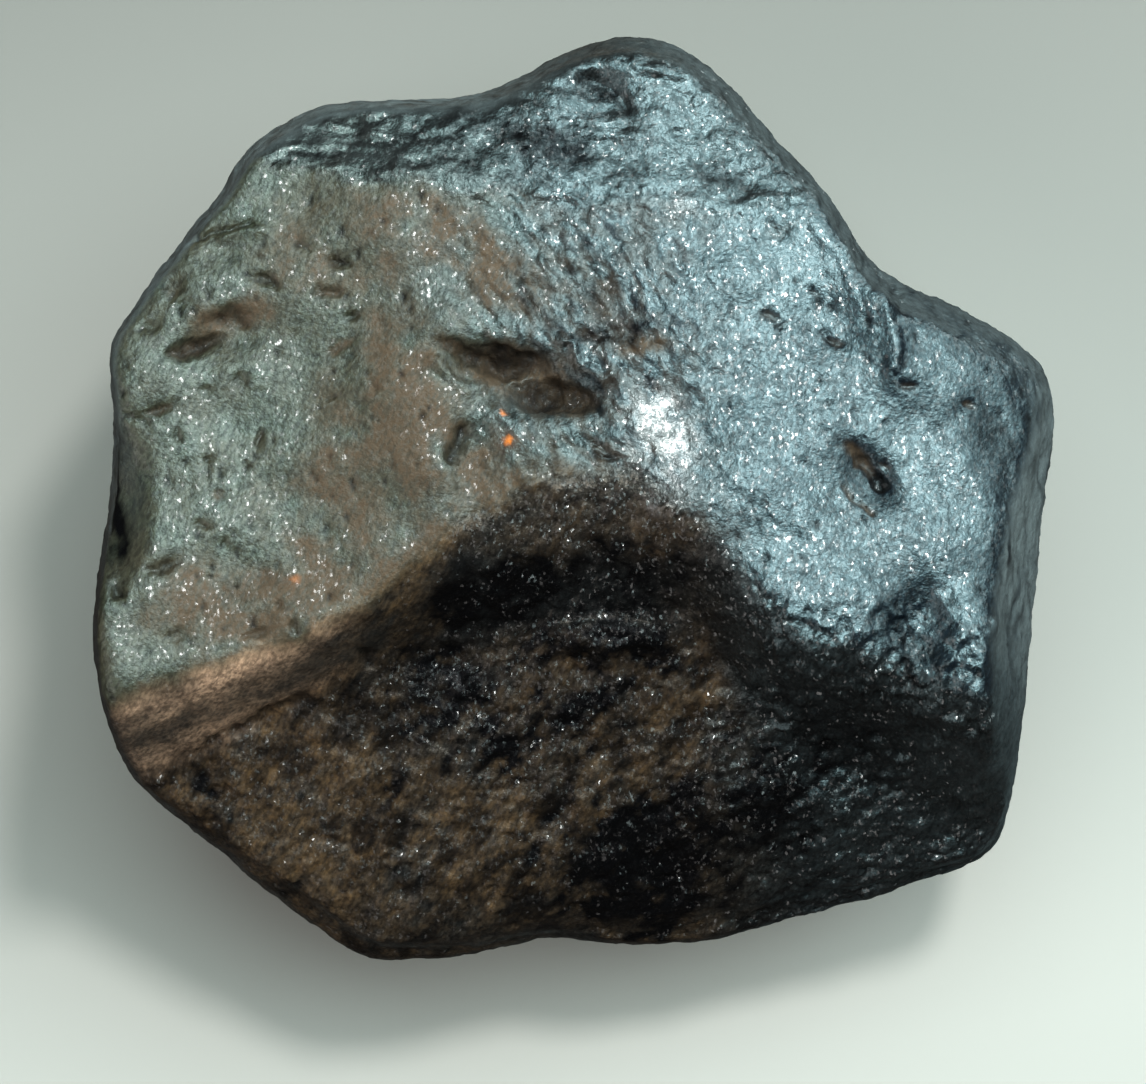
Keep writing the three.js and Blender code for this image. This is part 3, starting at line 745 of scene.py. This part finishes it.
def rim_sheen_of(points, normals, zones):
    """How much painted sheen lightens the rims, from 0 to 1."""
    x, y, up = points[:, 0], points[:, 1], normals[:, 2]
    striped = 0.35 + 0.65 * streaks(points, along=1.8, across=0.12, turn=3, seed=141)
    striped *= 1.0 - 0.5 * ramp(y, 1.0, 5.0)
    far_left = ramp(y, -3.0, 4.0) * (1.0 - ramp(x, -4.0, 2.0))
    uneven = 1.0 + 0.8 * layers(points, size=0.5, count=3, seed=145, fall=0.8)
    # Painted sheen: a little on all the sides, more at the far left, on its tilted upper parts too, and in
    # stripes along the lowered right rim.
    side_sheen = (0.10 + 0.45 * far_left) * uneven
    rim_sheen = side_sheen * zones["outside"]
    rim_sheen += 0.45 * far_left * (1.0 - ramp(up, 0.55, 0.92)) * (1.0 - zones["outside"])
    rim_sheen += zones["rim"] * (1.0 - ramp(up, 0.45, 0.85)) * striped
    return np.clip(rim_sheen, 0.0, 1.0)


def glints(points):
    """Spots of painted orange glint, light from inside the stone, each in a faint painted glow."""
    share = np.zeros(len(points))
    for x, y, radius in ORANGE_GLINTS:
        away = np.hypot(points[:, 0] - x, points[:, 1] - y) / radius
        spot = np.exp(-np.minimum(away, 5.0) ** 3)
        glow = 0.05 * np.exp(-np.minimum(away / 3.0, 5.0) ** 2)
        share = np.maximum(share, spot + glow)
    return np.clip(share, 0.0, 1.0)


# ---- Building the stone ----

SMOOTH_ROUNDS = (2, 3, 4)  # after each of three cuts into smaller triangles
MOST_TRIANGLES = 190000


def stone_arrays(source):
    """Points and triangles of the shaped stone in full, and the values that its material reads."""
    points, triangles = welded(source.data)
    for rounds in SMOOTH_ROUNDS:
        points, triangles = subdivided(points, triangles)
        points = smoothed(points, triangles, rounds)
    normals = normals_of(points, triangles)
    zones = zones_of(points, normals)
    height, placed, painted_shade = relief(points, zones)
    level = ramp(points[:, 2], 0.02, 0.8)  # the resting flat stays plane
    shaped = points + normals * (height * level)[:, None]
    shaped = np.clip(shaped, np.array(cad_low) / MM, np.array(cad_high) / MM)
    black_and_shade = blacks_and_shade(points, zones, painted_shade)
    x, y = points[:, 0], points[:, 1]
    values = {
        "brown": browns(points, zones, placed),
        "black_and_shade": black_and_shade,
        "glint": glints(points) * zones["upper"],
        "cool": ramp(x + 0.15 * y + 1.5 * noise(points, 3.0, 110), -6.0, 2.5),
        # The left end of the front wall, where the brown skin is painted light.
        "wall_painted_light": zones["wall"] * (1.0 - ramp(x, -9.0, -5.5)),
        "grit": grit_of(zones),
        "polish": zones["polish"],
        "sparks": sparks_of(zones),
        "rim_sheen": rim_sheen_of(points, normals, zones),
        "gloss": gloss_of(points, zones, black_and_shade),
        "blue": np.clip(zones["beyond"] + zones["rim"] + ramp(x, 3.0, 6.0), 0.0, 1.0),
        "rough": np.clip(zones["wall"] + zones["terrace"] + zones["outside"] + zones["beyond"], 0.0, 1.0),
        "steep": zones["outside"] * (1.0 - 0.8 * zones["rim"]),
    }
    return shaped, triangles, values


def mesh_of(name, points, triangles):
    """A mesh from points in millimetres."""
    mesh = bpy.data.meshes.new(name)
    mesh.vertices.add(len(points))
    mesh.vertices.foreach_set("co", (points * MM).ravel())
    mesh.loops.add(triangles.size)
    mesh.loops.foreach_set("vertex_index", triangles.ravel())
    mesh.polygons.add(len(triangles))
    mesh.polygons.foreach_set("loop_start", np.arange(0, triangles.size, 3))
    mesh.update(calc_edges=True)
    mesh.validate()
    return mesh


def thinned(stone, share):
    """The object's mesh with a share of its triangles, fewest where it is plain, and inside the CAD box."""
    modifier = stone.modifiers.new("thin", "DECIMATE")
    modifier.ratio = share
    evaluated = stone.evaluated_get(bpy.context.evaluated_depsgraph_get())
    mesh = bpy.data.meshes.new_from_object(evaluated)
    stone.modifiers.remove(modifier)
    corners = np.empty(3 * len(mesh.vertices), np.float32)
    mesh.vertices.foreach_get("co", corners)
    mesh.vertices.foreach_set("co", np.clip(corners.reshape(-1, 3), cad_low, cad_high).ravel())
    return mesh


def add_values(mesh, points, values):
    """Gives each vertex the values of the point nearest to it."""
    tree = KDTree(len(points))
    for i, point in enumerate(points * MM):
        tree.insert(point, i)
    tree.balance()
    nearest = np.array([tree.find(vertex.co)[1] for vertex in mesh.vertices])
    for name, value in values.items():
        attribute = mesh.attributes.new(name, "FLOAT", "POINT")
        attribute.data.foreach_set("value", value[nearest].astype(np.float32))


def make_stone(source):
    """The dressed stone, over the solid of the CAD part."""
    points, triangles, values = stone_arrays(source)
    stone = bpy.data.objects.new("alexandrite", mesh_of("stone_full", points, triangles))
    bpy.context.scene.collection.objects.link(stone)
    stone.data = thinned(stone, MOST_TRIANGLES / len(triangles))
    add_values(stone.data, points, values)
    stone.data.polygons.foreach_set("use_smooth", np.ones(len(stone.data.polygons), bool))
    return stone


# ---- Materials ----


class Nodes:
    """Short calls for building a node tree."""

    def __init__(self, material):
        material.use_nodes = True
        self.tree = material.node_tree
        self.shader = self.tree.nodes["Principled BSDF"]

    def add(self, kind, settings=None, **inputs):
        """A node, with its settings and what its inputs are fed."""
        node = self.tree.nodes.new(kind)
        for name, value in (settings or {}).items():
            setattr(node, name, value)
        for name, value in inputs.items():
            self.feed(node.inputs[name.replace("_", " ")], value)
        return node

    def feed(self, socket, value):
        """Links a socket to a node's output, or sets it to a number or colour."""
        if isinstance(value, bpy.types.NodeSocket):
            self.tree.links.new(value, socket)
        else:
            socket.default_value = value

    def attribute(self, name):
        """One of the values that the mesh carries."""
        return self.add("ShaderNodeAttribute", {"attribute_name": name}).outputs["Fac"]

    def math(self, operation, a, b):
        node = self.add("ShaderNodeMath", {"operation": operation})
        self.feed(node.inputs[0], a)
        self.feed(node.inputs[1], b)
        return node.outputs[0]

    def plus(self, a, b):
        return self.math("ADD", a, b)

    def minus(self, a, b):
        return self.math("SUBTRACT", a, b)

    def times(self, a, b):
        return self.math("MULTIPLY", a, b)

    def larger(self, a, b):
        return self.math("MAXIMUM", a, b)

    def vector(self, operation, a, b):
        """A node that works on two vectors."""
        node = self.add("ShaderNodeVectorMath", {"operation": operation})
        self.feed(node.inputs[0], a)
        self.feed(node.inputs[1], b)
        return node

    def mix(self, share, a, b):
        """Colour a where the share is 0, and colour b where it is 1."""
        node = self.add("ShaderNodeMix", {"data_type": "RGBA"})
        self.feed(node.inputs[0], share)
        self.feed(node.inputs[6], a)
        self.feed(node.inputs[7], b)
        return node.outputs[2]

    def scaled(self, place, size_mm, stretch):
        """A place in metres as one in sizes, finer along the axes with a larger stretch."""
        scale = [1000.0 / size_mm * s for s in stretch]
        return self.add("ShaderNodeMapping", Vector=place, Scale=scale).outputs[0]

    def grain(self, size_mm, detail=2.0, roughness=0.5, stretch=(1.0, 1.0, 1.0), turn=0.0):
        """Noise with features about `size_mm` wide, turned about Z by `turn` degrees."""
        place = self.add("ShaderNodeTexCoord").outputs["Object"]
        if turn:
            axis = {"rotation_type": "Z_AXIS"}
            turning = self.add("ShaderNodeVectorRotate", axis, Vector=place, Angle=math.radians(turn))
            place = turning.outputs[0]
        vector = self.scaled(place, size_mm, stretch)
        node = self.add("ShaderNodeTexNoise", Vector=vector, Scale=1.0, Detail=detail, Roughness=roughness)
        return node.outputs["Fac"]

    def tilted_grain(self, size_mm, slope, stretch=(1.0, 0.65, 0.8)):
        """Height of small facets, each with its own tilt."""
        place = self.scaled(self.add("ShaderNodeTexCoord").outputs["Object"], size_mm, stretch)
        facet = self.add("ShaderNodeTexVoronoi", Vector=place, Scale=1.0)
        away = self.vector("SUBTRACT", place, facet.outputs["Position"]).outputs[0]
        tilt = self.vector("SUBTRACT", facet.outputs["Color"], (0.5, 0.5, 0.5)).outputs[0]
        return self.times(self.vector("DOT_PRODUCT", away, tilt).outputs["Value"], slope * size_mm)

    def ranged(self, value, low, high, to_low=0.0, to_high=1.0):
        """A value that runs from low to high, carried to another range and held inside it."""
        node = self.add("ShaderNodeMapRange", {"clamp": True}, Value=value)
        for name, number in zip(("From Min", "From Max", "To Min", "To Max"), (low, high, to_low, to_high)):
            node.inputs[name].default_value = number
        return node.outputs[0]

    def bump(self, height):
        """A normal for a height in millimetres."""
        return self.add("ShaderNodeBump", Height=height, Distance=MM, Strength=1.0).outputs[0]


# ---- The stone's material ----

# Values that the mesh carries at each point, most of them from 0 to 1.
STONE_VALUES = (
    "brown",  # how much of the brown skin shows
    "black_and_shade",  # how much darker the body is than its neighbourhood: its own black and painted shade
    "glint",  # painted orange glint, light from inside
    "cool",  # blue rather than green, from left to right
    "wall_painted_light",  # the left end of the front wall, whose brown skin is painted light
    "grit",  # steepness of the glittering grains, where 1 is the right flat's
    "polish",  # the smoother skin
    "sparks",  # share of the grains that glitters even where the stone is dull
    "rim_sheen",  # painted sheen that lightens the rims
    "gloss",  # strength of the shine, where 1 is the right flat's
    "blue",  # where the reflection stays blue on rough parts
    "rough",  # all but the flats and what lies between them
    "steep",  # the dull sides and underside
)
# Colours of the body, as linear red, green, blue and alpha.
# Near black: the body's own black, and painted shade.
BLACK_AND_SHADE_BODY = (0.0012, 0.0012, 0.0014, 1.0)
LEFT_BODY = (0.022, 0.028, 0.016, 1.0)
RIGHT_BODY = (0.003, 0.006, 0.010, 1.0)
OTHER_BODY = (0.0095, 0.0110, 0.0115, 1.0)
# Painted sheen on the rims: a pale blue-grey that stands in for light on them.
RIM_SHEEN_BODY = (0.092, 0.112, 0.115, 1.0)
FLAT_BROWN = (0.052, 0.036, 0.023, 1.0)
TERRACE_BROWN = (0.084, 0.048, 0.021, 1.0)
# Brown skin with painted light, at the left end of the front wall: many times paler than the brown
# elsewhere, so that the wall looks lit.
WALL_BROWN_PAINTED_LIGHT = (0.620, 0.385, 0.250, 1.0)
# Painted orange glint.
PAINTED_GLINT_ORANGE = (0.60, 0.16, 0.02, 1.0)
# Tints of the reflection.
LEFT_SHEEN = (0.54, 0.68, 0.645, 1.0)
RIGHT_SHEEN = (0.56, 0.79, 0.85, 1.0)
BROWN_SHEEN = (0.220, 0.165, 0.125, 1.0)
ROUGH_SHEEN = (0.42, 0.35, 0.29, 1.0)
POLISHED_SHEEN = (1.0, 1.0, 1.0, 1.0)
NO_SHEEN = (0.02, 0.02, 0.025, 1.0)
# Roughness of the surface.
LEFT_BLUR = 0.42
RIGHT_BLUR = 0.36
OTHER_BLUR = 0.36
BROWN_BLUR = 0.52
SIDE_BLUR = 0.90
POLISHED_BLUR = 0.22
CRYSTAL_IOR = 1.75
GLITTER_ROUGHNESS = 0.16
GLITTER_IOR = 1.7
# Fine grains in the stone's skin, in millimetres.
SPECKLE = dict(size_mm=0.11, roughness=0.6, stretch=(1.0, 0.45, 0.6), turn=25.0)
MOTTLE = dict(size_mm=0.45, roughness=0.75, stretch=(1.0, 0.50, 0.8), turn=30.0)
BUMPS = dict(size_mm=0.14, roughness=0.6)
BUMP_HEIGHT = 0.034
DOTS = dict(size_mm=0.12, detail=1.0)
# Facets of the glittering grains, as [size, slope].
SMALL_GRAINS = (0.085, 0.40)
LARGE_GRAINS = (0.22, 0.22)
# The values of a grain's noise where it starts and where it is full.
SPECKLE_RANGE = (0.38, 0.64)
MOTTLE_RANGE = (0.30, 0.70)
DOTS_RANGE = (0.46, 0.60)
# Brown skin that shows: without its speckles, less on rough parts, and more in the speckles.
PLAIN_COVER = 0.75
ROUGH_LOSES_COVER = 0.40
SPECKLE_COVER = 0.55
MOTTLE_GAPS = 0.8
# Darkening of the body between its speckles, and strength of the reflection there and in them.
SPECKLE_DARKENING = 0.7
PLAIN_STRENGTH = 0.55
SPECKLE_STRENGTH = 0.6
BROWN_SHEEN_SHARE = 0.9
# Weight of the glitter: between its dots, at the left, added at the right, lost on brown, and for gloss.
LEAST_DOTS = 0.10
LEFT_GLITTER = 0.26
RIGHT_ADDS = 0.16
BROWN_LOSES = 0.45
GLOSS_GLITTER = 0.70


def grey(value):
    """A number as a colour, for the colour mixer."""
    return (value, value, value, 1.0)


def brown_cover(n, value, speckle):
    """How much of the brown skin shows: less between the speckles, and in blotches where it is rough."""
    mottle = n.ranged(n.grain(**MOTTLE), *MOTTLE_RANGE)
    gaps = n.minus(MOTTLE_GAPS, n.times(mottle, MOTTLE_GAPS))
    gaps = n.times(n.minus(value["rough"], value["wall_painted_light"]), gaps)
    least = n.minus(PLAIN_COVER, n.times(value["rough"], ROUGH_LOSES_COVER))
    dusted = n.times(value["brown"], n.plus(least, n.times(speckle, SPECKLE_COVER)))
    return n.times(dusted, n.minus(1.0, gaps))


def body_colour(n, value, speckle, cover):
    """Colour of the stone's body, with painted shade, painted sheen on the rims, painted light on the front
    wall's left end and painted orange glints.
    """
    body = n.mix(value["rough"], n.mix(value["cool"], LEFT_BODY, RIGHT_BODY), OTHER_BODY)
    body = n.mix(n.times(n.minus(1.0, speckle), SPECKLE_DARKENING), body, BLACK_AND_SHADE_BODY)
    brown = n.mix(value["wall_painted_light"], n.mix(value["rough"], FLAT_BROWN, TERRACE_BROWN), WALL_BROWN_PAINTED_LIGHT)
    body = n.mix(cover, body, brown)
    body = n.mix(value["rim_sheen"], body, RIM_SHEEN_BODY)
    body = n.mix(value["black_and_shade"], body, BLACK_AND_SHADE_BODY)
    return n.mix(value["glint"], body, PAINTED_GLINT_ORANGE)


def surface_blur(n, value):
    """Roughness of the surface."""
    blur = n.mix(value["cool"], grey(LEFT_BLUR), grey(RIGHT_BLUR))
    blur = n.mix(value["rough"], blur, grey(OTHER_BLUR))
    blur = n.mix(value["brown"], blur, grey(BROWN_BLUR))
    blur = n.mix(value["steep"], blur, grey(SIDE_BLUR))
    return n.mix(value["polish"], blur, grey(POLISHED_BLUR))


def sheen_colour(n, value, speckle, cover):
    """Tint of the reflection, which is dark where the stone is dull."""
    warm = n.times(value["rough"], n.minus(1.0, value["blue"]))
    sheen = n.mix(warm, n.mix(value["cool"], LEFT_SHEEN, RIGHT_SHEEN), ROUGH_SHEEN)
    sheen = n.mix(n.times(cover, BROWN_SHEEN_SHARE), sheen, BROWN_SHEEN)
    strength = n.times(value["gloss"], n.plus(PLAIN_STRENGTH, n.times(speckle, SPECKLE_STRENGTH)))
    return n.mix(value["polish"], n.mix(strength, NO_SHEEN, sheen), POLISHED_SHEEN)


def glitter_normal(n, value):
    """Normals of the glittering grains, each of which faces its own way."""
    grains = n.plus(n.tilted_grain(*SMALL_GRAINS), n.tilted_grain(*LARGE_GRAINS))
    return n.bump(n.times(grains, value["grit"]))


def glitter_weight(n, value):
    """Weight of the clear layer: in dots, lower at the left and on brown, and full where polished."""
    dots = n.ranged(n.grain(**DOTS), *DOTS_RANGE, to_low=LEAST_DOTS)
    plain = n.minus(1.0, n.times(value["brown"], BROWN_LOSES))
    most = n.times(plain, n.plus(LEFT_GLITTER, n.times(value["cool"], RIGHT_ADDS)))
    coat = n.times(n.larger(dots, value["polish"]), n.larger(most, value["polish"]))
    return n.times(coat, n.plus(n.times(value["gloss"], GLOSS_GLITTER), value["sparks"]))


def stone_material():
    """Dark crystal, partly under a brown skin, with glittering grains as a clear layer over it."""
    material = bpy.data.materials.new("alexandrite_rough")
    n = Nodes(material)
    value = {name: n.attribute(name) for name in STONE_VALUES}
    speckle = n.ranged(n.grain(**SPECKLE), *SPECKLE_RANGE)
    cover = brown_cover(n, value, speckle)
    inputs = n.shader.inputs
    n.feed(inputs["Base Color"], body_colour(n, value, speckle, cover))
    n.feed(inputs["Roughness"], surface_blur(n, value))
    n.feed(inputs["Specular Tint"], sheen_colour(n, value, speckle, cover))
    n.feed(inputs["Normal"], n.bump(n.times(n.grain(**BUMPS), BUMP_HEIGHT)))
    n.feed(inputs["Coat Normal"], glitter_normal(n, value))
    n.feed(inputs["Coat Weight"], glitter_weight(n, value))
    inputs["IOR"].default_value = CRYSTAL_IOR
    inputs["Coat Roughness"].default_value = GLITTER_ROUGHNESS
    inputs["Coat IOR"].default_value = GLITTER_IOR
    n.shader.distribution = "GGX"
    return material


# ---- Studio ----

FLOOR_SIZE = 3.0  # metres
FLOOR_PAINTED_DIM = (0.155, 0.154, 0.141, 1.0)
FLOOR_PAINTED_LIGHT = (0.365, 0.360, 0.333, 1.0)
# The floor's colour is a painted light gradient: dim behind the stone and light in front of it, with a fade
# between these distances towards -Y, in metres, on a line that is turned a little.
FLOOR_FADE = (-0.020, 0.018)
FLOOR_FADE_SLANT = 0.18
FLOOR_ROUGHNESS = 0.9

# Round lamps that point at the stone, as [name, azimuth from +Y towards +X, elevation, distance, width,
# power, colour], in degrees, metres and watts.
LAMPS = [
    ("key", 22.0, 62.0, 1.20, 1.48, 25.0, (0.78, 1.0, 1.0)),
    ("fill", -115.0, 38.0, 1.20, 1.20, 8.0, (1.0, 0.97, 0.94)),
    ("side", 80.0, 40.0, 1.20, 0.90, 5.0, (0.85, 1.0, 1.0)),
    ("rim", 40.0, 14.0, 1.20, 0.80, 7.0, (0.85, 1.0, 1.0)),
    ("spark", 30.0, 64.0, 0.80, 0.12, 5.0, (1.0, 1.0, 0.98)),
]
ROOM_COLOUR = (0.60, 0.55, 0.50, 1.0)
ROOM_STRENGTH = 0.07


def floor_material():
    """Pale matt floor whose colour carries a painted light gradient."""
    material = bpy.data.materials.new("pale_floor")
    n = Nodes(material)
    place = n.add("ShaderNodeSeparateXYZ", Vector=n.add("ShaderNodeTexCoord").outputs["Object"]).outputs
    towards = n.minus(n.times(place["X"], FLOOR_FADE_SLANT), place["Y"])
    n.feed(n.shader.inputs["Base Color"], n.mix(n.ranged(towards, *FLOOR_FADE), FLOOR_PAINTED_DIM, FLOOR_PAINTED_LIGHT))
    n.shader.inputs["Roughness"].default_value = FLOOR_ROUGHNESS
    return material


def make_floor():
    """The floor that the stone lies on."""
    bpy.ops.mesh.primitive_plane_add(size=FLOOR_SIZE)
    floor = bpy.context.object
    floor.name = "floor"
    floor.data.materials.append(floor_material())
    floor.visible_glossy = False  # nothing pale was near the stone, which was held in the air


def make_lamp(name, azimuth, elevation, distance, width, power, colour):
    """One row of LAMPS."""
    light = bpy.data.lights.new(name, "AREA")
    light.shape = "DISK"
    light.size = width
    light.energy = power
    light.color = colour
    lamp = bpy.data.objects.new(name, light)
    bpy.context.scene.collection.objects.link(lamp)
    a, e = math.radians(azimuth), math.radians(elevation)
    lamp.location = Vector((math.sin(a) * math.cos(e), math.cos(a) * math.cos(e), math.sin(e))) * distance
    lamp.rotation_mode = "QUATERNION"
    lamp.rotation_quaternion = (-lamp.location).to_track_quat("-Z", "Y")
    lamp.visible_camera = False


def make_world():
    """Dim light from all around."""
    world = bpy.data.worlds.new("room")
    bpy.context.scene.world = world
    world.use_nodes = True
    background = world.node_tree.nodes["Background"]
    background.inputs["Color"].default_value = ROOM_COLOUR
    background.inputs["Strength"].default_value = ROOM_STRENGTH


def make_camera():
    """A camera that looks straight down, with the photo's frame."""
    camera = bpy.data.cameras.new("camera")
    eye = bpy.data.objects.new("camera", camera)
    bpy.context.scene.collection.objects.link(eye)
    bpy.context.scene.camera = eye
    width = PICTURE[0] / PIXELS_PER_MM
    camera.sensor_width = SENSOR_WIDTH
    camera.lens = SENSOR_WIDTH * (CAMERA_HEIGHT - FOCUS_HEIGHT) / width
    camera.clip_start = NEAREST_SEEN
    x = (PICTURE[0] / 2 - STONE_MIDDLE[0]) / PIXELS_PER_MM
    y = (STONE_MIDDLE[1] - PICTURE[1] / 2) / PIXELS_PER_MM
    eye.location = Vector((x, y, CAMERA_HEIGHT)) * MM


make_floor()
for lamp in LAMPS:
    make_lamp(*lamp)
make_world()
make_camera()

stone = make_stone(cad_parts["stone"])
stone.data.materials.append(stone_material())
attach(stone, "root")
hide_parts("stone")

bpy.context.scene.view_settings.view_transform = "Standard"
